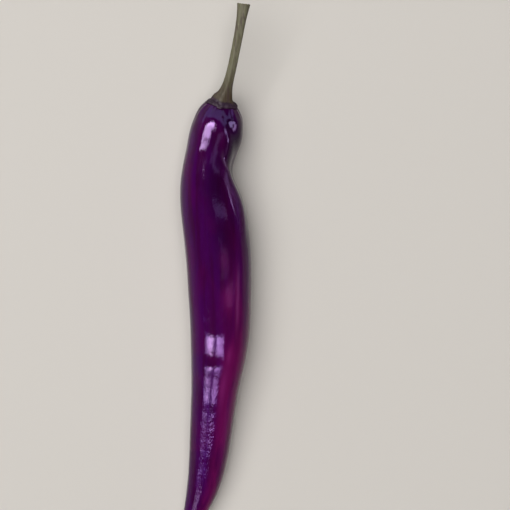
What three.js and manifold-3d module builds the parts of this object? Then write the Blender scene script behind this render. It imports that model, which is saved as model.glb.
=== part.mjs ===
// Purple cayenne pepper, picked and lying on its side.
// Millimetres. +Z is up from the surface it rests on, +Y runs from the tip to the stem, +X is to its right.
// The origin is on the surface, under the middle of the pepper's box.
import * as THREE from "three";
import { mergeVertices } from "three/addons/utils/BufferGeometryUtils.js";
import Module from "manifold-3d";

const wasm = await Module();
wasm.setup();

const DEGREE = Math.PI / 180;

// Mesh fineness.
const podSides = 44;
const podRings = 88;
const stemSides = 40;
const stemRings = 46;
const seamGap = 0.3; // between the pod's skin and the calyx that sits on it

// The pod's centre line from the crown under the calyx down to the tip, with its half width r and half height h.
// The shoulder is a little taller than wide and the belly a little wider than tall.
const podSpine = [
  { y: 53.7, x: 2.4, z: 10.4, r: 0, h: 0 },
  { y: 53.55, x: 2.38, z: 10.35, r: 1.7, h: 1.7 },
  { y: 53.1, x: 2.3, z: 10.2, r: 3.2, h: 3.2 },
  { y: 52.3, x: 2.15, z: 9.95, r: 4.6, h: 4.65 },
  { y: 51.2, x: 1.9, z: 9.55, r: 5.75, h: 5.9 },
  { y: 49.6, x: 1.55, z: 9.05, r: 6.75, h: 7.0 },
  { y: 46.6, x: 1.0, z: 8.55, r: 7.6, h: 7.95 },
  { y: 42.6, x: 0.2, z: 8.45, r: 8.1, h: 8.4 },
  { y: 38.0, x: -0.65, z: 8.45, r: 8.15, h: 8.6 },
  { y: 33.6, x: -1.4, z: 8.5, r: 8.35, h: 8.68 },
  { y: 29.4, x: -1.65, z: 8.6, r: 8.8, h: 8.85 },
  { y: 24.6, x: -1.3, z: 8.77, r: 9.35, h: 9.04 },
  { y: 19.2, x: -0.45, z: 8.92, r: 9.8, h: 9.19 },
  { y: 12.6, x: 0.45, z: 8.99, r: 9.95, h: 9.26 },
  { y: 5.0, x: 1.1, z: 8.97, r: 9.87, h: 9.24 },
  { y: -3.8, x: 1.4, z: 8.84, r: 9.55, h: 9.11 },
  { y: -12.8, x: 1.6, z: 8.52, r: 9.1, h: 8.79 },
  { y: -21.8, x: 1.1, z: 8.05, r: 8.4, h: 8.27 },
  { y: -30.6, x: 0.2, z: 7.6, r: 7.35, h: 7.48 },
  { y: -39.4, x: -0.65, z: 6.9, r: 6.7, h: 6.75 },
  { y: -48.0, x: -1.45, z: 6.07, r: 6.2, h: 6.08 },
  { y: -56.0, x: -2.35, z: 5.25, r: 5.6, h: 5.36 },
  { y: -62.8, x: -3.65, z: 4.53, r: 4.83, h: 4.63 },
  { y: -68.4, x: -5.35, z: 3.95, r: 3.9, h: 3.85 },
  { y: -72.9, x: -6.95, z: 3.6, r: 3.0, h: 3.0 },
  { y: -76.4, x: -8.3, z: 3.4, r: 2.15, h: 2.15 },
  { y: -79.2, x: -9.55, z: 3.3, r: 1.35, h: 1.35 },
  { y: -81.1, x: -10.3, z: 3.3, r: 0.75, h: 0.75 },
  { y: -81.7, x: -10.55, z: 3.3, r: 0, h: 0 },
];

// Three furrows run down from the crown, turning to the right and fading as they go.
// Turns are degrees round from the right side, over the top; depth is a share of the pod's half width.
const furrows = [
  { turn: 78, twist: -62, wide: 22, depth: 0.12 },
  { turn: 226, twist: -18, wide: 26, depth: 0.07 },
  { turn: 318, twist: -24, wide: 26, depth: 0.07 },
];
const furrowTwistOver = 19;
const furrowOpensOver = 2;
const furrowFadesOver = 17;
const furrowLeft = 0.012; // what is left of a furrow all the way to the tip

// Soft dents (below 0) and swellings: mm below the crown, degrees round from the right side, reach, and height.
const swellings = [
  { down: 20.0, turn: 4, long: 6.6, wide: 38, height: -1.8 },
  { down: 10.5, turn: 40, long: 5.0, wide: 34, height: 0.3 },
  { down: 33.0, turn: 58, long: 12.0, wide: 30, height: 0.3 },
  { down: 47.0, turn: 112, long: 11.0, wide: 34, height: -0.3 },
  { down: 66.0, turn: 150, long: 13.0, wide: 36, height: 0.22 },
  { down: 79.0, turn: 30, long: 9.0, wide: 40, height: 0.28 },
  { down: 58.0, turn: 196, long: 12.0, wide: 24, height: -0.25 },
  { down: 96.0, turn: 78, long: 10.0, wide: 36, height: -0.16 },
  { down: 104.0, turn: 200, long: 12.0, wide: 45, height: 0.18 },
];
const swellingNeeds = 4; // half width of pod below which a swelling is lower

// The calyx spreads over the crown and narrows into the stem, which was snapped off at its top knuckle.
const stemSpine = [
  { y: 49.8, x: 1.35, z: 9.1, r: 3.4 },
  { y: 51.4, x: 1.75, z: 9.75, r: 4.4 },
  { y: 52.5, x: 1.95, z: 10.1, r: 4.72 },
  { y: 53.2, x: 2.1, z: 10.35, r: 4.66 },
  { y: 53.75, x: 2.25, z: 10.55, r: 3.75 },
  { y: 54.35, x: 2.45, z: 10.8, r: 2.7 },
  { y: 55.2, x: 2.75, z: 11.1, r: 2.02 },
  { y: 56.6, x: 3.2, z: 11.6, r: 1.64 },
  { y: 58.8, x: 3.95, z: 12.35, r: 1.42 },
  { y: 62.4, x: 5.0, z: 13.4, r: 1.32 },
  { y: 67.2, x: 6.15, z: 14.7, r: 1.3 },
  { y: 72.4, x: 7.2, z: 15.9, r: 1.34 },
  { y: 77.0, x: 8.0, z: 16.75, r: 1.46 },
  { y: 79.9, x: 8.45, z: 17.2, r: 1.74 },
  { y: 81.3, x: 8.65, z: 17.4, r: 1.92 },
];
const stemRibs = 5;
const ribDepth = 0.055; // share of the stem's radius
const ribTurn = 18;
const calyx = { narrowest: 2.2, widensOver: 2, top: 54.6, endsOver: 1.4 }; // where the run is calyx and not stem
const tooth = { reach: 0.5, drop: 0.5, sharp: 6 }; // the calyx's short points, one below each rib
const thinnestRing = 0.05; // a thinner section closes to a point

// A smooth curve through the stations, at u from 0 at the first to 1 at the last.
function along(stations, u) {
  const last = stations.length - 1;
  const place = Math.min(Math.max(u, 0), 1) * last;
  const i = Math.min(Math.floor(place), last - 1);
  const f = place - i;
  const station = (k) => stations[Math.min(Math.max(k, 0), last)];
  const [a, b, c, d] = [station(i - 1), station(i), station(i + 1), station(i + 2)];
  const value = (key) => {
    const start = (c[key] - a[key]) / 2;
    const end = (d[key] - b[key]) / 2;
    const rise = b[key] - c[key];
    return ((2 * rise + start + end) * f + (-3 * rise - 2 * start - end)) * f * f + start * f + b[key];
  };
  const made = Object.fromEntries(Object.keys(b).map((key) => [key, value(key)]));
  return { ...made, r: Math.max(made.r, 0) };
}

// The section's centre, and its directions to the right and up.
function sectionFrame(stations, u) {
  const step = 0.002;
  const centre = along(stations, u);
  const ahead = along(stations, Math.min(u + step, 1));
  const behind = along(stations, Math.max(u - step, 0));
  const rising = ahead.y > behind.y ? 1 : -1;
  const axis = new THREE.Vector3(ahead.x - behind.x, ahead.y - behind.y, ahead.z - behind.z)
    .multiplyScalar(rising)
    .normalize();
  const right = new THREE.Vector3().crossVectors(axis, new THREE.Vector3(0, 0, 1)).normalize();
  const up = new THREE.Vector3().crossVectors(right, axis).normalize();
  return { centre, axis, right, up };
}

// Values of u that divide the outline from end to end into even steps.
function evenSteps(stations, count) {
  const samples = 4000;
  const lengths = [0];
  let before = along(stations, 0);
  for (let i = 1; i <= samples; i++) {
    const now = along(stations, i / samples);
    const run = Math.hypot(now.x - before.x, now.y - before.y, now.z - before.z, now.r - before.r);
    lengths.push(lengths[i - 1] + run);
    before = now;
  }
  const total = lengths[samples];
  const steps = [];
  let i = 0;
  for (let k = 0; k <= count; k++) {
    while (i < samples && lengths[i] < (total * k) / count) i++;
    steps.push(i / samples);
  }
  return steps;
}

const smooth = (t) => {
  const s = Math.min(Math.max(t, 0), 1);
  return s * s * (3 - 2 * s);
};

// The angle between two turns in degrees, from -180 to 180.
const between = (a, b) => ((((a - b) % 360) + 540) % 360) - 180;

const bell = (t) => Math.exp(-t * t);

function furrowShare(down, turn) {
  const twisted = smooth(down / furrowTwistOver);
  const faded = Math.exp(-down / furrowFadesOver);
  const one = (f) => (f.depth * faded + furrowLeft) * bell(between(turn, f.turn + f.twist * twisted) / f.wide);
  return -smooth(down / furrowOpensOver) * furrows.reduce((sum, f) => sum + one(f), 0);
}

function swelling(down, turn) {
  const one = (s) => s.height * bell((down - s.down) / s.long) * bell(between(turn, s.turn) / s.wide);
  return swellings.reduce((sum, s) => sum + one(s), 0);
}

// A point of the pod's skin. What would sink below the surface it lies on is pressed flat.
function podPoint(u, turn) {
  const { centre, right, up } = sectionFrame(podSpine, u);
  const down = podSpine[0].y - centre.y;
  const room = Math.min(1, centre.r / swellingNeeds);
  const share = 1 + furrowShare(down, turn);
  const swollen = swelling(down, turn) * room;
  const point = new THREE.Vector3(centre.x, centre.y, centre.z)
    .addScaledVector(right, (centre.r * share + swollen) * Math.cos(turn * DEGREE))
    .addScaledVector(up, (centre.h * share + swollen) * Math.sin(turn * DEGREE));
  point.z = Math.max(point.z, 0);
  return point;
}

// A point of the calyx and stem, with a rib to each sepal and a short point where it ends on the shoulder.
function stemPoint(u, turn) {
  const { centre, axis, right, up } = sectionFrame(stemSpine, u);
  const rib = Math.cos(stemRibs * (turn - ribTurn) * DEGREE);
  const wideEnough = smooth((centre.r - calyx.narrowest) / calyx.widensOver);
  const skirt = wideEnough * smooth((calyx.top - centre.y) / calyx.endsOver);
  const point = Math.pow((1 + rib) / 2, tooth.sharp) * skirt;
  const radius = centre.r * (1 + ribDepth * rib * (1 - skirt)) + tooth.reach * point;
  return new THREE.Vector3(centre.x, centre.y, centre.z)
    .addScaledVector(right, radius * Math.cos(turn * DEGREE))
    .addScaledVector(up, radius * Math.sin(turn * DEGREE))
    .addScaledVector(axis, -tooth.drop * point);
}

// A closed skin over rings of points, with a cap point at each end.
function skinOver(pointAt, stations, steps, sides) {
  const positions = [];
  const indices = [];
  const add = (p) => positions.push(p.x, p.y, p.z) / 3 - 1;
  const rings = steps.filter((u) => along(stations, u).r > thinnestRing);
  const first = add(along(stations, 0));
  for (const u of rings) {
    for (let k = 0; k < sides; k++) add(pointAt(u, (360 * k) / sides));
  }
  const last = add(along(stations, 1));
  const at = (ring, k) => 1 + ring * sides + (k % sides);
  for (let k = 0; k < sides; k++) {
    indices.push(first, at(0, k), at(0, k + 1));
    for (let ring = 0; ring + 1 < rings.length; ring++) {
      indices.push(at(ring, k), at(ring + 1, k), at(ring + 1, k + 1));
      indices.push(at(ring, k), at(ring + 1, k + 1), at(ring, k + 1));
    }
    indices.push(last, at(rings.length - 1, k + 1), at(rings.length - 1, k));
  }
  const geometry = new THREE.BufferGeometry();
  geometry.setAttribute("position", new THREE.Float32BufferAttribute(positions, 3));
  geometry.setIndex(indices);
  return geometry;
}

// Turns every face round.
function turnedOut(geometry) {
  const index = geometry.index.array;
  for (let i = 0; i < index.length; i += 3) [index[i + 1], index[i + 2]] = [index[i + 2], index[i + 1]];
  return geometry;
}

function solidOf(geometry) {
  const bare = new THREE.BufferGeometry().setAttribute("position", geometry.getAttribute("position"));
  bare.setIndex(geometry.index);
  const merged = mergeVertices(bare);
  const vertProperties = new Float32Array(merged.attributes.position.array);
  const triVerts = new Uint32Array(merged.index.array);
  return new wasm.Manifold(new wasm.Mesh({ numProp: 3, vertProperties, triVerts }));
}

function geometryOf(solid) {
  const mesh = solid.getMesh();
  const geometry = new THREE.BufferGeometry();
  geometry.setAttribute("position", new THREE.Float32BufferAttribute(mesh.vertProperties, 3));
  geometry.setIndex(new THREE.Uint32BufferAttribute(mesh.triVerts, 1));
  geometry.computeVertexNormals();
  return geometry;
}

// The same skin, moved outwards along its normals.
function grown(geometry, by) {
  const bigger = geometry.clone();
  bigger.computeVertexNormals();
  const position = bigger.attributes.position;
  const normal = bigger.attributes.normal;
  for (let i = 0; i < position.count; i++) {
    position.setXYZ(
      i,
      position.getX(i) + by * normal.getX(i),
      position.getY(i) + by * normal.getY(i),
      position.getZ(i) + by * normal.getZ(i),
    );
  }
  return bigger;
}

function podSkin() {
  return turnedOut(skinOver(podPoint, podSpine, evenSteps(podSpine, podRings), podSides));
}

function stemSkin() {
  return skinOver(stemPoint, stemSpine, evenSteps(stemSpine, stemRings), stemSides);
}

const podMaterial = new THREE.MeshStandardMaterial({ color: 0x3a0840, roughness: 0.22, metalness: 0 });
const stemMaterial = new THREE.MeshStandardMaterial({ color: 0x8b8a66, roughness: 0.6, metalness: 0 });

const podGeometry = podSkin();
podGeometry.computeVertexNormals();
const pod = new THREE.Mesh(podGeometry, podMaterial);
pod.name = "pod";

const seatedStem = solidOf(stemSkin()).subtract(solidOf(grown(podGeometry, seamGap)));
const calyxAndStem = new THREE.Mesh(geometryOf(seatedStem), stemMaterial);
calyxAndStem.name = "calyx_and_stem";

const pepper = new THREE.Group();
pepper.add(pod, calyxAndStem);

export default pepper;
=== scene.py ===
import math

import bpy
import numpy as np
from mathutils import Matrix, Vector, noise
from mathutils.bvhtree import BVHTree


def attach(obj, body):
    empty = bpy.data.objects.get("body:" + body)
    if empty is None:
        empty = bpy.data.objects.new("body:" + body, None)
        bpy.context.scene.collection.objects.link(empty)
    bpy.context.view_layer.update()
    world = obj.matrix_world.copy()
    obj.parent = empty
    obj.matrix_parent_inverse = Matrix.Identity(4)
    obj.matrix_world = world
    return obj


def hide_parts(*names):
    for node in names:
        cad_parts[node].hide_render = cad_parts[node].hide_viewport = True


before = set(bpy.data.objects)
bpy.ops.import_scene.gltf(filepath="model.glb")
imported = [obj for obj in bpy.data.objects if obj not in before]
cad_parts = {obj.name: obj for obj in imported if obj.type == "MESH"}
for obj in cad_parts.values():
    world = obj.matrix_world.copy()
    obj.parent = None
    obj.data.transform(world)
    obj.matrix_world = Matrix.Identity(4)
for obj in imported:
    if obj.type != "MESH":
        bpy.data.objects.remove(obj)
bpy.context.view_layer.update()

# A purple cayenne pepper, picked and lying on its side. Lengths are in millimetres until a mesh is made.
mm = 0.001
print("frame loaded")


# Smooth curve through stations whose first three values are (y, x, z), cut into even steps
def curveThrough(stations, steps):
    points = np.array(stations, float)
    gap = np.linalg.norm(np.diff(points, axis=0), axis=1)
    at = np.concatenate([[0], np.cumsum(gap)])
    count = len(points)
    system = np.eye(count)
    pull = np.zeros_like(points)
    for i in range(1, count - 1):
        system[i, i - 1:i + 2] = gap[i - 1], 2 * (gap[i - 1] + gap[i]), gap[i]
        pull[i] = 6 * ((points[i + 1] - points[i]) / gap[i] - (points[i] - points[i - 1]) / gap[i - 1])
    bend = np.linalg.solve(system, pull)

    def curve(t):
        i = np.clip(np.searchsorted(at, t, side="right") - 1, 0, count - 2)
        h = gap[i][:, None]
        a = (at[i + 1] - t)[:, None] / h
        b = 1 - a
        straight = a * points[i] + b * points[i + 1]
        return straight + ((a ** 3 - a) * bend[i] + (b ** 3 - b) * bend[i + 1]) * h ** 2 / 6

    return curve(np.linspace(0, at[-1], steps + 1))


# Centre, right and up of each section; every section looks towards the stem
def sectionFrames(line):
    centre = line[:, [1, 0, 2]]
    axis = np.gradient(centre, axis=0)
    axis *= np.sign(axis[:, 1])[:, None]
    axis /= np.linalg.norm(axis, axis=1)[:, None]
    right = np.cross(axis, [0, 0, 1])
    right /= np.linalg.norm(right, axis=1)[:, None]
    return centre, axis, right, np.cross(right, axis)


def smooth(t):
    t = np.clip(t, 0, 1)
    return t * t * (3 - 2 * t)


def bell(t):
    return np.exp(-t * t)


def between(a, b):
    return (a - b + 180) % 360 - 180


seedStep = 17.3
unscaled = (1, 1, 1)


# Soft noise at many points: size is the length of a bump along x, y and z
def bumps(points, size, seed, octaves=1):
    places = points / np.array(size) + seed * seedStep
    out = np.zeros(len(places))
    for k in range(octaves):
        layer = np.array([noise.noise(Vector(p)) for p in places * 2 ** k])
        out += layer / 2 ** k
    return out


# Closed skin over rings of points, with a cap point at each end
def skinMesh(name, rings, startCap, endCap):
    count, sides = rings.shape[:2]
    points = np.vstack([rings.reshape(-1, 3), startCap, endCap]) * mm
    first, last = count * sides, count * sides + 1
    faces = []
    for i in range(count - 1):
        for k in range(sides):
            n = (k + 1) % sides
            faces.append((i * sides + k, i * sides + n, (i + 1) * sides + n, (i + 1) * sides + k))
    for k in range(sides):
        n = (k + 1) % sides
        faces.append((first, n, k))
        faces.append((last, (count - 1) * sides + k, (count - 1) * sides + n))
    mesh = bpy.data.meshes.new(name)
    mesh.from_pydata(points.tolist(), [], faces)
    mesh.validate()
    mesh.update()
    mesh.polygons.foreach_set("use_smooth", [True] * len(mesh.polygons))
    made = bpy.data.objects.new(name, mesh)
    bpy.context.scene.collection.objects.link(made)
    return made


def keepValues(made, name, values):
    layer = made.data.attributes.new(name, "FLOAT", "POINT")
    layer.data.foreach_set("value", np.asarray(values, np.float32))


def turnFacesOut(made):
    mesh = made.data
    inward = sum(p.area * p.normal.dot(p.center - mesh.vertices[0].co) for p in mesh.polygons) < 0
    if inward:
        mesh.flip_normals()


# The pod: stations run from the crown under the calyx to the tip, as (y, x, z, half width, half height)
podMake = {
    "rings": 430,
    "sides": 200,
    "thinnest": 0.05,
    "stations": [
        (53.7, 2.4, 10.4, 0, 0), (53.55, 2.38, 10.35, 1.7, 1.7), (53.1, 2.3, 10.2, 3.2, 3.2),
        (52.3, 2.15, 9.95, 4.6, 4.65), (51.2, 1.9, 9.55, 5.75, 5.9), (49.6, 1.55, 9.05, 6.75, 7.0),
        (46.6, 1.0, 8.55, 7.6, 7.95), (42.6, 0.2, 8.45, 8.1, 8.4), (38.0, -0.65, 8.45, 8.15, 8.6),
        (33.6, -1.4, 8.5, 8.35, 8.68), (29.4, -1.65, 8.6, 8.8, 8.85), (24.6, -1.3, 8.77, 9.35, 9.04),
        (19.2, -0.45, 8.92, 9.8, 9.19), (12.6, 0.45, 8.99, 9.95, 9.26), (5.0, 1.1, 8.97, 9.87, 9.24),
        (-3.8, 1.4, 8.84, 9.55, 9.11), (-12.8, 1.6, 8.52, 9.1, 8.79), (-21.8, 1.1, 8.05, 8.4, 8.27),
        (-30.6, 0.2, 7.6, 7.35, 7.48), (-39.4, -0.65, 6.9, 6.7, 6.75), (-48.0, -1.45, 6.07, 6.2, 6.08),
        (-56.0, -2.35, 5.25, 5.6, 5.36), (-62.8, -3.65, 4.53, 4.83, 4.63), (-68.4, -5.35, 3.95, 3.9, 3.85),
        (-72.9, -6.95, 3.6, 3.0, 3.0), (-76.4, -8.3, 3.4, 2.15, 2.15), (-79.2, -9.55, 3.3, 1.35, 1.35),
        (-81.1, -10.3, 3.3, 0.75, 0.75), (-81.7, -10.55, 3.3, 0, 0),
    ],
    # furrows: degrees round from the right over the top, twist on the way down, width and depth
    "furrows": [(78, -62, 22, 0.12), (226, -18, 26, 0.07), (318, -24, 26, 0.07)],
    "furrowTwistOver": 19,
    "furrowOpensOver": 2,
    "furrowFadesOver": 17,
    "furrowLeft": 0.012,
    # dents and swellings: mm down from the crown, degrees round, length, width in degrees, height
    "swellings": [
        (20.0, 4, 6.6, 38, -1.8), (10.5, 40, 5.0, 34, 0.3), (33.0, 58, 12.0, 30, 0.3),
        (47.0, 112, 11.0, 34, -0.3), (66.0, 150, 13.0, 36, 0.22), (79.0, 30, 9.0, 40, 0.28),
        (58.0, 196, 12.0, 24, -0.25), (96.0, 78, 10.0, 36, -0.16), (104.0, 200, 12.0, 45, 0.18),
    ],
    "swellingNeeds": 4,
    "underRounding": 0.12,
    # relief of the skin: height, size of the bumps along x, y, z, and seed
    "relief": [(0.06, (9, 15, 9), 1), (0.026, (4.2, 5.6, 4.2), 2), (0.012, (1.8, 2.4, 1.8), 3)],
    # veins along the pod: height, bumps round a radian, length of a bump, and seed
    "veins": [(0.03, 2.6, 34, 5), (0.012, 8.0, 11, 9)],
    # finer bumps that are strongest on the lower belly
    "peel": {"height": 0.018, "size": (0.9, 1.4, 0.9), "seed": 4, "least": 0.25, "from": 68, "full": 82},
    "puckers": {"height": 0.10, "count": 17, "fadeOver": 3.4, "wander": 2.5, "size": (6, 5, 6), "seed": 7},
    # small marks on the skin: mm down, degrees round, length, width and height in mm
    "marks": [
        (79.9, 97, 2.5, 7.5, 0.25), (83.0, 100, 5.0, 7.0, 0.12), (84.2, 112, 1.3, 2.2, 0.035),
        (90.4, 100, 1.7, 4.5, 0.06), (16.3, 115, 2.0, 2.2, 0.07), (103.0, 104, 8.0, 6.0, 0.1),
        (70.0, 100, 2.5, 6.0, 0.08), (94.0, 98, 14.0, 0.6, -0.02), (91.0, 100, 8.0, 6.0, 0.14),
        (5.5, 60, 2.2, 3.0, 0.12), (8.6, 72, 2.5, 1.5, 0.14),
        (115.5, 104, 6.0, 6.0, 0.26), (4.9, 111, 0.5, 0.6, 0.05), (41.8, 96, 1.2, 0.5, 0.05),
        (40.4, 61, 1.6, 0.6, 0.06), (105.2, 114, 0.9, 0.5, 0.03), (107.0, 95, 1.3, 0.5, 0.03),
        (97.8, 79, 1.0, 0.5, 0.04), (62.0, 70, 0.9, 0.7, 0.03), (70.5, 122, 1.1, 0.6, -0.03),
        (52.0, 132, 0.8, 0.8, 0.03), (92.0, 64, 1.2, 0.7, 0.03), (26.5, 112, 1.0, 0.8, -0.03),
    ],
    # ridge beside the waist: mm down and degrees round along it, then half width, height and fade in mm
    "ridge": {"path": [(14.0, 68), (17.0, 66), (18.9, 59), (21.8, 46), (24.2, 41), (26.6, 37), (29.2, 31.5),
                       (31.6, 28), (33.7, 26.5), (36.7, 28), (39.7, 30), (45.0, 32)],
              "soft": (2.3, 0.38, 8.0), "sharp": (0.5, 0.07, 6.0),
              # duller skin on its left: mm down where it starts, mm aside, half width and fade
              "dull": (17.5, 2.0, 1.8, 5.0)},
    # a dull spot on the shoulder: mm down, degrees round, length, width in degrees, strength
    "dullSpot": (10.2, 72, 3.0, 7, 0.6),
    # painted shade, darkening the skin where shade falls in the furrows, at the waist, under the crown and on
    # the right flank: mm down, degrees round, length, width in degrees, strength
    "paintedShades": [(5.5, 62, 5, 24, 0.85), (13.5, 34, 8, 34, 0.9), (22.0, 14, 9, 40, 0.85),
               (34.0, 8, 12, 24, 0.45), (28.0, 78, 15, 24, 0.72), (45.0, 86, 8, 15, 0.4),
               (40.0, 78, 9, 22, 0.6), (13.0, 88, 6, 20, 0.45), (3.0, 85, 3.5, 50, 0.55)],
    # lighter skin, partly its own mottling and partly painted sheen, with the same columns as the painted
    # shades
    "paleSpotsAndSheens": [(85.4, 71, 5.5, 8, 0.8), (76.0, 67, 2.5, 5, 0.7), (59.2, 72, 3.5, 11, 0.45),
                (61.0, 55, 9, 5, 0.6), (48.0, 80, 3, 9, 0.3), (98.0, 48, 12, 9, 0.6)],
}


def podShape():
    p = podMake
    line = curveThrough(p["stations"], p["rings"])
    keep = line[:, 3] > p["thinnest"]
    centre, _, right, up = sectionFrames(line)
    caps = centre[0], centre[-1]
    centre, right, up = centre[keep], right[keep], up[keep]
    halfWidth, halfHeight = line[keep, 3][:, None], line[keep, 4][:, None]
    down = (caps[0][1] - centre[:, 1])[:, None]
    turn = np.arange(p["sides"])[None, :] * 360 / p["sides"]
    twisted = smooth(down / p["furrowTwistOver"])
    faded = np.exp(-down / p["furrowFadesOver"])
    furrow = np.zeros((len(centre), p["sides"]))
    for start, twist, wide, depth in p["furrows"]:
        furrow -= (depth * faded + p["furrowLeft"]) * bell(between(turn, start + twist * twisted) / wide)
    furrow *= smooth(down / p["furrowOpensOver"])
    swelling = np.zeros_like(furrow)
    for at, degrees, long, wide, height in p["swellings"]:
        swelling += height * bell((down - at) / long) * bell(between(turn, degrees) / wide)
    room = np.minimum(1, halfWidth / p["swellingNeeds"])
    angle = np.radians(turn)
    across = (halfWidth * (1 + furrow) + swelling * room) * np.cos(angle)
    tall = (halfHeight * (1 + furrow) + swelling * room) * np.sin(angle)
    skin = centre[:, None] + right[:, None] * across[..., None] + up[:, None] * tall[..., None]
    return skin, caps, down, turn, halfWidth


def outward(skin):
    along = np.gradient(skin, axis=0)
    across = np.roll(skin, -1, axis=1) - np.roll(skin, 1, axis=1)
    normal = np.cross(across, along)
    return normal / np.linalg.norm(normal, axis=2)[..., None]


# Strength of soft spots, each as mm down, degrees round, length, width in degrees and strength
def spots(made, down, turn):
    return np.max([strength * bell((down - at) / long) * bell(between(turn, degrees) / wide)
                   for at, degrees, long, wide, strength in made], axis=0)


# Height of the skin's even relief; the angle is the turn in radians at every point
def podRelief(skin, down, angle, halfWidth):
    p = podMake
    flat = skin.reshape(-1, 3)
    relief = np.zeros(len(flat))
    for height, size, seed in p["relief"]:
        relief += height * bumps(flat, size, seed)
    for height, across, along, seed in p["veins"]:
        around = np.stack([np.cos(angle) * across, flat[:, 1] / along, np.sin(angle) * across], axis=1)
        relief += height * bumps(around, unscaled, seed, octaves=2)
    relief = relief.reshape(skin.shape[:2])
    e = p["peel"]
    grown = e["least"] + (1 - e["least"]) * smooth((down - e["from"]) / (e["full"] - e["from"]))
    relief += e["height"] * grown * bumps(flat, e["size"], e["seed"]).reshape(relief.shape)
    k = p["puckers"]
    wander = bumps(flat, k["size"], k["seed"]) * k["wander"]
    pucker = np.cos(k["count"] * angle + wander).reshape(relief.shape)
    relief += k["height"] * pucker * np.exp(-down / k["fadeOver"])
    return relief * np.minimum(1, halfWidth / p["swellingNeeds"])


# Adds the ridge to the relief, and gives its crest and the duller skin beside it
def addRidge(relief, down, turn, halfWidth):
    ridge = podMake["ridge"]
    path = np.array(ridge["path"], float)
    aside = np.radians(between(turn, np.interp(down, path[:, 0], path[:, 1]))) * halfWidth
    for wide, height, fade in (ridge["soft"], ridge["sharp"]):
        crest = smooth((down - path[0, 0]) / fade) * smooth((path[-1, 0] - down) / fade) * bell(aside / wide)
        relief += height * crest
    start, left, wide, fade = ridge["dull"]
    dull = smooth((down - start) / fade) * smooth((path[-1, 0] - down) / fade) * bell((aside - left) / wide)
    return crest, dull


def makePod():
    p = podMake
    skin, caps, down, turn, halfWidth = podShape()
    angle = np.broadcast_to(np.radians(turn), skin.shape[:2]).ravel()
    relief = podRelief(skin, down, angle, halfWidth)
    for at, degrees, long, wide, height in p["marks"]:
        aside = np.radians(between(turn, degrees)) * halfWidth
        relief += height * bell((down - at) / long) * bell(aside / wide)
    crest, dull = addRidge(relief, down, turn, halfWidth)
    dull = np.maximum(dull, spots([p["dullSpot"]], down, turn))
    skin = skin + outward(skin) * relief[..., None]
    soft = p["underRounding"]
    skin[..., 2] = (skin[..., 2] + np.sqrt(skin[..., 2] ** 2 + soft ** 2)) / 2
    made = skinMesh("pepperPod", skin, caps[0], caps[1])
    turnFacesOut(made)
    for name in ("paintedShades", "paleSpotsAndSheens"):
        keepValues(made, name, np.append(spots(p[name], down, turn).ravel(), [0, 0]))
    downAll = np.broadcast_to(down, skin.shape[:2])
    keepValues(made, "down", np.append(downAll.ravel(), [0, down.max()]))
    keepValues(made, "side", np.append(np.cos(angle), [0, 0]))
    keepValues(made, "crest", np.append(crest.ravel(), [0, 0]))
    keepValues(made, "dull", np.append(dull.ravel(), [0, 0]))
    return made


# The calyx and stem: stations run from under the crown to the snapped end, as (y, x, z, half width)
stemMake = {
    "rings": 300,
    "sides": 140,
    "stations": [
        (52.5, 1.95, 10.1, 4.72), (53.2, 2.15, 10.35, 4.45), (53.75, 2.4, 10.55, 3.7),
        (54.35, 2.65, 10.8, 2.95), (55.2, 3.0, 11.1, 2.35), (56.6, 3.45, 11.6, 1.82),
        (58.8, 4.1, 12.35, 1.45), (62.4, 5.05, 13.4, 1.32), (67.2, 6.15, 14.7, 1.3),
        (72.4, 7.2, 15.9, 1.34), (77.0, 8.0, 16.75, 1.46), (79.9, 8.45, 17.2, 1.74), (81.3, 8.65, 17.4, 1.92),
    ],
    "ribs": 5,
    "ribDepth": 0.055,
    "ribTurn": 18,
    "ribTwist": 40,
    # points of the calyx, in line with the ribs
    "tooth": {"reach": 0.75, "sharp": 5},
    # the rim starts and is full at these half widths; it sits this far off the pod, and its edge is rounded
    "rim": {"from": 2.9, "full": 3.9, "seat": 0.12, "thick": 0.34, "fullness": 0.8, "edge": 0.3},
    # it lifts off the pod here and there, most at its edge
    "lift": {"height": 0.12, "over": 1.6, "waves": 1.3, "seed": 13},
    # its underside reaches in to this half width
    "under": {"rings": 10, "to": 1.2, "inset": 0.004, "seat": 0.06, "liftKept": 0.9, "liftFades": 2.4},
    "grain": {"height": 0.035, "across": 5, "along": 7, "seed": 11},
    "snap": {"rings": 14, "dish": 0.35, "deepens": 1.4, "ragged": 0.22, "size": (0.5, 0.5, 0.5), "seed": 19,
             "pithFrom": 0.3},
}


def stemShape():
    p = stemMake
    line = curveThrough(p["stations"], p["rings"])
    centre, axis, right, up = sectionFrames(line)
    radius = line[:, 3][:, None]
    turn = np.arange(p["sides"])[None, :] * 360 / p["sides"]
    share = np.linspace(0, 1, len(line))[:, None]
    ribAngle = np.radians(p["ribs"] * (turn - p["ribTurn"] - p["ribTwist"] * share ** 2))
    rib = np.cos(ribAngle)
    skirt = smooth((radius - p["rim"]["from"]) / (p["rim"]["full"] - p["rim"]["from"]))
    point = ((1 + rib) / 2) ** p["tooth"]["sharp"] * skirt
    width = radius * (1 + p["ribDepth"] * rib * (1 - skirt)) + p["tooth"]["reach"] * point
    angle = np.radians(turn)
    skin = (centre[:, None] + right[:, None] * (width * np.cos(angle))[..., None]
            + up[:, None] * (width * np.sin(angle))[..., None])
    flat = skin.reshape(-1, 3)
    g = p["grain"]
    spread = np.broadcast_to(angle, width.shape).ravel()
    around = np.stack([np.cos(spread) * g["across"], flat[:, 1] / g["along"],
                       np.sin(spread) * g["across"]], axis=1)
    sunk = (g["height"] * bumps(around, unscaled, g["seed"], octaves=2)).reshape(width.shape)
    skin = skin - outward(skin) * sunk[..., None]
    return skin, centre, axis, radius, angle, share, skirt


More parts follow.
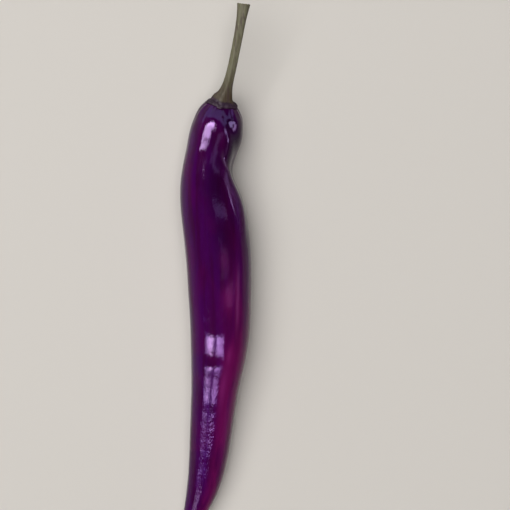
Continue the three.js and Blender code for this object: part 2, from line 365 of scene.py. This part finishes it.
# The points moved onto the pod's skin, each at its own height above it
def onPod(tree, points, height):
    out = np.empty_like(points)
    for i, q in enumerate(points):
        place, normal, _, _ = tree.find_nearest(Vector(q) * mm)
        out[i] = np.array(place) / mm + np.array(normal) * height[i]
    return out


# Seats the calyx on the pod, and gives the rings of its underside
def seatRim(tree, skin, centre, radius, angle, skirt):
    rim, loose, below = stemMake["rim"], stemMake["lift"], stemMake["under"]
    around = angle[0]
    wave = np.stack([np.cos(around) * loose["waves"], np.sin(around) * loose["waves"], around * 0], axis=1)
    tilt = (1 + bumps(wave, unscaled, loose["seed"])) / 2
    for i in range(int(np.argmin(radius[:, 0] > rim["from"]))):
        inFrom = radius[0, 0] - radius[i, 0]
        edge = math.sqrt(max(0.0, 1 - (1 - min(1.0, inFrom / rim["edge"])) ** 2))
        lift = loose["height"] * tilt * max(0.0, 1 - inFrom / loose["over"])
        seated = onPod(tree, skin[i], (rim["seat"] + rim["thick"] * edge * rim["fullness"]) + lift)
        skin[i] += (seated - skin[i]) * float(skirt[i, 0])
    under = []
    for inward in np.linspace(0, 1, below["rings"]):
        size = 1 - inward * (1 - below["to"] / radius[0, 0])
        ring = centre[0] + (skin[0] - centre[0]) * (size - below["inset"])
        lift = loose["height"] * tilt * max(0.0, 1 - inward * below["liftFades"])
        under.append(onPod(tree, ring, below["seat"] + lift * below["liftKept"]))
    return under


# Rings of the snapped end, which is dished and ragged
def snappedEnd(skin, centre, axis):
    s = stemMake["snap"]
    end = []
    for part in np.linspace(0, 1, s["rings"] + 1)[1:-1]:
        ring = centre[-1] + (skin[-1] - centre[-1]) * (1 - part)
        torn = s["ragged"] * bumps(ring, s["size"], s["seed"], octaves=2)
        sunk = s["dish"] * smooth(part * s["deepens"]) + torn
        end.append(ring - axis[-1] * sunk[:, None])
    return end


def makeStem(podPiece):
    p = stemMake
    skin, centre, axis, radius, angle, share, skirt = stemShape()
    tree = BVHTree.FromObject(podPiece, bpy.context.evaluated_depsgraph_get())
    under = seatRim(tree, skin, centre, radius, angle, skirt)
    end = snappedEnd(skin, centre, axis)
    rings = np.concatenate([np.array(under)[::-1], skin, np.array(end)])
    endCap = centre[-1] - axis[-1] * p["snap"]["dish"]
    made = skinMesh("calyxAndStem", rings, np.mean(under[-1], axis=0), endCap)
    turnFacesOut(made)
    ones = np.ones((1, p["sides"]))
    stemShare = np.concatenate([0 * ones] * len(under) + [share * ones] + [ones] * len(end))
    pith = np.concatenate([0 * ones] * (len(under) + len(skin))
                          + [ones * part for part in np.linspace(p["snap"]["pithFrom"], 1, len(end))])
    rimNear = np.concatenate([ones] * len(under) + [skirt * ones] + [0 * ones] * len(end))
    keepValues(made, "share", np.append(stemShare.ravel(), [0, 1]))
    keepValues(made, "pith", np.append(pith.ravel(), [0, 1]))
    keepValues(made, "rim", np.append(rimNear.ravel(), [1, 0]))
    return made


podPiece = makePod()
print("pod made")
stemPiece = makeStem(podPiece)
print("calyx and stem made")


# Materials
def newMaterial(name):
    material = bpy.data.materials.new(name)
    material.use_nodes = True
    tree = material.node_tree
    return material, tree, tree.nodes["Principled BSDF"]


def fillSocket(tree, socket, value):
    if isinstance(value, bpy.types.NodeSocket):
        tree.links.new(value, socket)
    else:
        socket.default_value = value


def placeOf(tree):
    return tree.nodes.new("ShaderNodeTexCoord").outputs["Object"]


def valueOf(tree, name):
    node = tree.nodes.new("ShaderNodeAttribute")
    node.attribute_name = name
    return node.outputs["Fac"]


# How far a step of the seed moves a pattern along x, y and z
seedShift = (1.0, 1.7, 0.6)


# Noise with bumps of the given size in mm along x, y and z, from 0 to 1
def grain(tree, size, detail, uneven, seed):
    mapping = tree.nodes.new("ShaderNodeMapping")
    fillSocket(tree, mapping.inputs["Vector"], placeOf(tree))
    mapping.inputs["Scale"].default_value = [1 / (s * mm) for s in size]
    mapping.inputs["Location"].default_value = [seed * shift for shift in seedShift]
    made = tree.nodes.new("ShaderNodeTexNoise")
    made.inputs["Scale"].default_value = 1.0
    made.inputs["Detail"].default_value = detail
    made.inputs["Distortion"].default_value = uneven
    fillSocket(tree, made.inputs["Vector"], mapping.outputs["Vector"])
    return made.outputs["Fac"]


def rise(tree, value, low, high, toLow=0.0, toHigh=1.0):
    node = tree.nodes.new("ShaderNodeMapRange")
    node.interpolation_type = "SMOOTHSTEP"
    for slot, number in (("Value", value), ("From Min", low), ("From Max", high), ("To Min", toLow),
                         ("To Max", toHigh)):
        fillSocket(tree, node.inputs[slot], number)
    return node.outputs["Result"]


# Adds or multiplies two values, and keeps the result from 0 to 1
def sums(tree, operation, a, b):
    node = tree.nodes.new("ShaderNodeMath")
    node.operation = operation
    node.use_clamp = True
    fillSocket(tree, node.inputs[0], a)
    fillSocket(tree, node.inputs[1], b)
    return node.outputs[0]


def blendTones(tree, share, under, over):
    node = tree.nodes.new("ShaderNodeMix")
    node.data_type = "RGBA"
    fillSocket(tree, node.inputs[0], share)
    fillSocket(tree, node.inputs[6], under)
    fillSocket(tree, node.inputs[7], over)
    return node.outputs[2]


def raised(tree, heights, distance):
    normal = None
    for height, strength in heights:
        node = tree.nodes.new("ShaderNodeBump")
        node.inputs["Strength"].default_value = strength
        node.inputs["Distance"].default_value = distance
        fillSocket(tree, node.inputs["Height"], height)
        if normal:
            fillSocket(tree, node.inputs["Normal"], normal)
        normal = node.outputs["Normal"]
    return normal


def paint(piece, material):
    piece.data.materials.clear()
    piece.data.materials.append(material)


skinLook = {
    "violet": (0.048, 0.0012, 0.068, 1),
    "plum": (0.040, 0.0012, 0.038, 1),
    "wine": (0.085, 0.0014, 0.052, 1),
    # tone of the painted glow
    "paintedMagentaGlow": (0.14, 0.0045, 0.078, 1),
    # tone of the painted shade
    "paintedShadeTone": (0.008, 0.0006, 0.013, 1),
    # tone of the lighter skin and painted sheen
    "paleSpotAndSheenTone": (0.18, 0.012, 0.115, 1),
    # tone of the painted highlight along the ridge's crest
    "paintedCrestHighlight": (0.13, 0.065, 0.14, 1),
    "scar": (0.10, 0.065, 0.035, 1),
    "specular": 0.2,
    "specularTone": (0.74, 0.44, 1.0, 1),
    "roughness": (0.045, 0.09),
    "dullness": 0.24,
    # patterns: length of a bump along x, y and z in mm, detail, unevenness and seed
    "streaks": ((2.2, 34, 2.2), 3.0, 0.4, 3.0),
    "patches": ((9, 16, 9), 2.0, 0.8, 8.0),
    "glowStreaks": ((3, 26, 3), 2.0, 0.5, 5.0),
    "glossSpots": ((1.6, 2.0, 1.6), 2.0, 0.0, 2.0),
    "pores": ((0.45, 0.6, 0.45), 2.0, 0.0, 1.0),
    "hairlines": ((0.6, 9, 0.6), 2.0, 0.2, 6.0),
    # the part of each pattern over which it comes in
    "streaksRise": (0.36, 0.66),
    "patchesRise": (0.42, 0.66),
    "glowRise": (0.3, 0.6),
    "glossRise": (0.3, 0.7),
    "patchShare": 0.3,
    "crestShare": 0.6,
    # the painted glow, a magenta tone standing in for light passing through the skin, comes in over these mm
    # down, and from the middle to the right
    "glowDown": (40.0, 80.0),
    "glowSide": (-0.05, 0.55),
    "glowLeast": 0.35,
    "scarDown": (134.2, 135.2),
    # the pores reach their full depth over these mm down
    "poresDown": (64, 80),
    "poresLeast": 0.4,
    # depth in mm, and the strengths of the pores and hairlines
    "bumpDepth": 0.1,
    "bumpStrengths": (0.4, 0.2),
}


def podSkin():
    look = skinLook
    material, tree, shader = newMaterial("podSkin")
    down, side = valueOf(tree, "down"), valueOf(tree, "side")
    streaks = rise(tree, grain(tree, *look["streaks"]), *look["streaksRise"])
    patches = rise(tree, grain(tree, *look["patches"]), *look["patchesRise"])
    tone = blendTones(tree, streaks, look["violet"], look["plum"])
    tone = blendTones(tree, sums(tree, "MULTIPLY", patches, look["patchShare"]), tone, look["wine"])
    # painted glow: magenta towards the lower right, standing in for light passing through the skin
    lower = rise(tree, down, *look["glowDown"])
    rightward = rise(tree, side, *look["glowSide"])
    glow = sums(tree, "MULTIPLY", lower, rightward)
    glowStreaks = rise(tree, grain(tree, *look["glowStreaks"]), *look["glowRise"], look["glowLeast"], 1.0)
    glow = sums(tree, "MULTIPLY", glow, glowStreaks)
    tone = blendTones(tree, glow, tone, look["paintedMagentaGlow"])
    # lighter patches: partly the skin's own mottling, partly painted sheen
    tone = blendTones(tree, valueOf(tree, "paleSpotsAndSheens"), tone, look["paleSpotAndSheenTone"])
    # painted shade: the skin darkened where shade falls
    tone = blendTones(tree, valueOf(tree, "paintedShades"), tone, look["paintedShadeTone"])
    # painted highlight: a pale line along the ridge's crest
    crest = sums(tree, "MULTIPLY", valueOf(tree, "crest"), look["crestShare"])
    tone = blendTones(tree, crest, tone, look["paintedCrestHighlight"])
    tone = blendTones(tree, rise(tree, down, *look["scarDown"]), tone, look["scar"])
    fillSocket(tree, shader.inputs["Base Color"], tone)
    gloss = rise(tree, grain(tree, *look["glossSpots"]), *look["glossRise"], *look["roughness"])
    dull = sums(tree, "MULTIPLY", valueOf(tree, "dull"), look["dullness"])
    fillSocket(tree, shader.inputs["Roughness"], sums(tree, "ADD", gloss, dull))
    shader.inputs["Specular IOR Level"].default_value = look["specular"]
    shader.inputs["Specular Tint"].default_value = look["specularTone"]
    grown = rise(tree, down, *look["poresDown"], look["poresLeast"], 1.0)
    pores = sums(tree, "MULTIPLY", grain(tree, *look["pores"]), grown)
    poreStrength, hairlineStrength = look["bumpStrengths"]
    heights = (pores, poreStrength), (grain(tree, *look["hairlines"]), hairlineStrength)
    fillSocket(tree, shader.inputs["Normal"], raised(tree, heights, look["bumpDepth"] * mm))
    return material


stemLook = {
    "stem": (0.130, 0.124, 0.070, 1),
    "pale": (0.170, 0.150, 0.105, 1),
    # olive-brown funnel, darkened with painted shade
    "funnelShaded": (0.045, 0.028, 0.013, 1),
    "mauve": (0.050, 0.020, 0.032, 1),
    # mauve-brown rim, darkened with painted shade where it meets the pod
    "rimShaded": (0.024, 0.008, 0.020, 1),
    "pith": (0.46, 0.44, 0.30, 1),
    "pithRing": (0.16, 0.14, 0.075, 1),
    "roughness": (0.5, 0.7),
    "specular": 0.1,
    # patterns, as the pod's
    "streaks": ((0.55, 9, 0.55), 3.0, 0.3, 4.0),
    "flushes": ((1.1, 12, 1.1), 2.0, 0.6, 9.0),
    "rimSpots": ((0.8, 0.8, 0.8), 3.0, 0.0, 2.0),
    "pores": ((0.25, 0.3, 0.25), 3.0, 0.0, 1.0),
    "hairlines": ((0.3, 6, 0.3), 2.0, 0.2, 5.0),
    "streaksRise": (0.35, 0.68),
    "flushesRise": (0.46, 0.7),
    "flushShare": 0.55,
    "rimSpotShare": 0.5,
    "rimRise": (0.3, 0.9),
    # parts of the stem's length over which the funnel ends and the pale streaks grow, and how strong they are
    "funnelEnds": (0.12, 0.4),
    "paleOver": (0.1, 0.4),
    "paleStrength": (0.15, 0.6),
    "endRise": (0.0, 0.2),
    "pithRise": (0.35, 0.75),
    "bumpDepth": 0.1,
    "bumpStrengths": (0.35, 0.4),
}


def stemSkin():
    look = stemLook
    material, tree, shader = newMaterial("greenStem")
    share, rim, pith = valueOf(tree, "share"), valueOf(tree, "rim"), valueOf(tree, "pith")
    streaks = rise(tree, grain(tree, *look["streaks"]), *look["streaksRise"])
    # the funnel's tone carries painted shade
    tone = blendTones(tree, rise(tree, share, *look["funnelEnds"]), look["funnelShaded"], look["stem"])
    faint = sums(tree, "MULTIPLY", streaks, rise(tree, share, *look["paleOver"], *look["paleStrength"]))
    tone = blendTones(tree, faint, tone, look["pale"])
    flushes = rise(tree, grain(tree, *look["flushes"]), *look["flushesRise"])
    tone = blendTones(tree, sums(tree, "MULTIPLY", flushes, look["flushShare"]), tone, look["mauve"])
    # the calyx's rim and underside darkened: partly their own mauve-brown, partly painted shade
    rimSpots = sums(tree, "MULTIPLY", grain(tree, *look["rimSpots"]), look["rimSpotShare"])
    ragged = rise(tree, sums(tree, "ADD", rim, rimSpots), *look["rimRise"])
    tone = blendTones(tree, ragged, tone, look["rimShaded"])
    broken = blendTones(tree, rise(tree, pith, *look["pithRise"]), look["pithRing"], look["pith"])
    tone = blendTones(tree, rise(tree, pith, *look["endRise"]), tone, broken)
    fillSocket(tree, shader.inputs["Base Color"], tone)
    shader.inputs["Specular IOR Level"].default_value = look["specular"]
    fillSocket(tree, shader.inputs["Roughness"], rise(tree, streaks, 0.0, 1.0, *look["roughness"]))
    poreStrength, hairlineStrength = look["bumpStrengths"]
    heights = (grain(tree, *look["pores"]), poreStrength), (grain(tree, *look["hairlines"]), hairlineStrength)
    fillSocket(tree, shader.inputs["Normal"], raised(tree, heights, look["bumpDepth"] * mm))
    return material


paint(podPiece, podSkin())
paint(stemPiece, stemSkin())
for piece, node, slotName in ((podPiece, "pod", "pod_skin"), (stemPiece, "calyx_and_stem", "green_stem")):
    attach(piece, "root")
    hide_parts(node)
print("materials made")

# Stage: floor, lights, camera
stageMake = {
    "floorSize": 4000,
    "floorTone": (0.66, 0.625, 0.58, 1),
    "floorRoughness": 0.9,
    # brightness of the surroundings by height above the horizon, as the sine of the angle
    "surround": [(0.0, 0.55), (0.12, 0.4), (0.42, 0.08), (0.75, 0.02), (1.0, 0.02)],
    # and their strength from the left to the right
    "fromLeft": (-0.5, 1.0),
    "toRight": (0.8, 0.25),
}


def makeFloor():
    half = stageMake["floorSize"] * mm / 2
    corners = [(-half, -half, 0), (half, -half, 0), (half, half, 0), (-half, half, 0)]
    mesh = bpy.data.meshes.new("floor")
    mesh.from_pydata(corners, [], [(0, 1, 2, 3)])
    floor = bpy.data.objects.new("floor", mesh)
    bpy.context.scene.collection.objects.link(floor)
    material, _, shader = newMaterial("paleFloor")
    shader.inputs["Base Color"].default_value = stageMake["floorTone"]
    shader.inputs["Roughness"].default_value = stageMake["floorRoughness"]
    shader.inputs["Specular IOR Level"].default_value = 0.0
    paint(floor, material)


def makeWorld():
    world = bpy.data.worlds.new("studio")
    world.use_nodes = True
    tree = world.node_tree
    parts = tree.nodes.new("ShaderNodeSeparateXYZ")
    tree.links.new(tree.nodes.new("ShaderNodeTexCoord").outputs["Generated"], parts.inputs[0])
    ramp = tree.nodes.new("ShaderNodeValToRGB")
    tree.links.new(parts.outputs["Z"], ramp.inputs["Fac"])
    steps = ramp.color_ramp.elements
    while len(steps) < len(stageMake["surround"]):
        steps.new(0.5)  # a spare step, which gets its place below
    for step, (at, bright) in zip(steps, stageMake["surround"]):
        step.position = at
        step.color = (bright, bright, bright, 1)
    background = tree.nodes["Background"]
    tree.links.new(ramp.outputs["Color"], background.inputs["Color"])
    (left, leftStrength), (right, rightStrength) = stageMake["fromLeft"], stageMake["toRight"]
    tree.links.new(rise(tree, parts.outputs["X"], left, right, leftStrength, rightStrength),
                   background.inputs["Strength"])
    bpy.context.scene.world = world


# Level panels, which only the gloss shows. A drop of a few mm hangs one in front of another, and a large
# one brings it down beside the shoulder, where the rest of the pod doesn't mirror it.
lampMake = {
    "height": 515,
    "panels": [
        # name, middle and size across and along in mm, turn in degrees, drop in mm, brightness, tone
        ("hazeBelly", (-355, -240), (1030, 150), 2.5, 0, 4, (0.45, 0.3, 1)),
        ("windowLeft", (-502, -236), (580, 97), 6.5, 2, 8.5, (1, 1, 1)),
        ("windowLeftLow", (-430, -294), (320, 18), 6.5, 2, 4, (1, 1, 1)),
        ("windowRight", (8, -213), (200, 110), 0, 2, 21, (1, 0.92, 1)),
        ("windowRightLow", (-20, -265), (120, 18), 0, 2, 5, (1, 0.92, 1)),
        ("paneLeftHigh", (-365, -192), (230, 26), 6.5, 4, 80, (1, 1, 0.9)),
        ("paneLeftLow", (-440, -214), (500, 26), 6.5, 4, 30, (1, 1, 0.9)),
        ("paneRightHigh", (-24, -176), (72, 40), 0, 4, 14, (1, 1, 1)),
        ("paneRightEdge", (112, -185), (26, 60), 0, 4, 14, (1, 1, 1)),
        ("windowTop", (-430, 347), (560, 248), -14, 2, 42, (0.95, 1, 0.92)),
        ("windowTopCorner", (-98, 318), (90, 214), -25, 2, 42, (0.95, 1, 0.92)),
        ("paneTop", (-330, 392), (480, 130), -14, 4, 26, (0.95, 1, 0.92)),
        ("glintShoulder", (47.5, 54.9), (39, 10.2), 0, 480, 14, (0.82, 0.95, 1)),
        ("glintShoulderLow", (75.5, 44.6), (45, 10.2), 0, 480, 13, (0.9, 0.88, 1)),
        ("skyBack", (425, 1075), (1450, 850), 0, 2, 3.2, (0.6, 0.75, 1)),
        ("skyBackLeft", (-1250, 1575), (1900, 1450), 0, 2, 3, (0.5, 0.75, 1)),
        ("skyWaist", (215, 108), (440, 52), 10, 2, 2.4, (0.8, 0.8, 1)),
        ("patchBelly", (140, -11), (280, 18), 0, 2, 1.5, (1, 0.8, 1)),
        ("patchBellyLow", (410, -69), (420, 22), 0, 2, 2.2, (1, 0.7, 1)),
        ("wallRight", (1575, -135), (1250, 190), 0, 2, 1.2, (1, 0.75, 1)),
        ("windowTip", (-385, -462), (434, 90), 0, 2, 13, (1, 1, 1)),
    ],
    "fill": {"place": (-300, 150, 1300), "size": 1600, "bright": 3.1},
}


def makePanel(name, middle, size, turn, drop, bright, tone):
    light = bpy.data.lights.new(name, "AREA")
    light.shape = "RECTANGLE"
    light.size, light.size_y = size[0] * mm, size[1] * mm
    light.energy = bright * math.pi * light.size * light.size_y
    light.color = tone
    lamp = bpy.data.objects.new(name, light)
    lamp.location = (middle[0] * mm, middle[1] * mm, (lampMake["height"] - drop) * mm)
    lamp.rotation_euler = (0, 0, math.radians(turn))
    lamp.visible_camera = False
    lamp.visible_diffuse = False
    bpy.context.scene.collection.objects.link(lamp)


def makeLamps():
    for panel in lampMake["panels"]:
        makePanel(*panel)
    f = lampMake["fill"]
    place, size = [v * mm for v in f["place"]], f["size"] * mm
    light = bpy.data.lights.new("softFill", "AREA")
    light.size = size
    light.energy = f["bright"] * math.pi * size ** 2
    lamp = bpy.data.objects.new("softFill", light)
    lamp.location = place
    lamp.rotation_euler = Vector(place).to_track_quat("Z", "Y").to_euler()
    lamp.visible_camera = False
    lamp.visible_glossy = False
    bpy.context.scene.collection.objects.link(lamp)


# The photo's frame: 510 pixels across at 0.30 mm a pixel, straight down
cameraMake = {"middle": (12.0, 7.05), "height": 510.0, "plane": 10.0, "across": 153.0, "sensor": 36.0,
              "clipStart": 10.0}


def makeCamera():
    c = cameraMake
    data = bpy.data.cameras.new("photoView")
    data.sensor_width = c["sensor"]
    data.lens = c["sensor"] * (c["height"] - c["plane"]) / c["across"]
    data.clip_start = c["clipStart"] * mm
    eye = bpy.data.objects.new("photoView", data)
    eye.location = (c["middle"][0] * mm, c["middle"][1] * mm, c["height"] * mm)
    bpy.context.scene.collection.objects.link(eye)
    bpy.context.scene.camera = eye


makeFloor()
makeWorld()
makeLamps()
makeCamera()
bpy.context.scene.view_settings.view_transform = "Standard"
print("stage made")
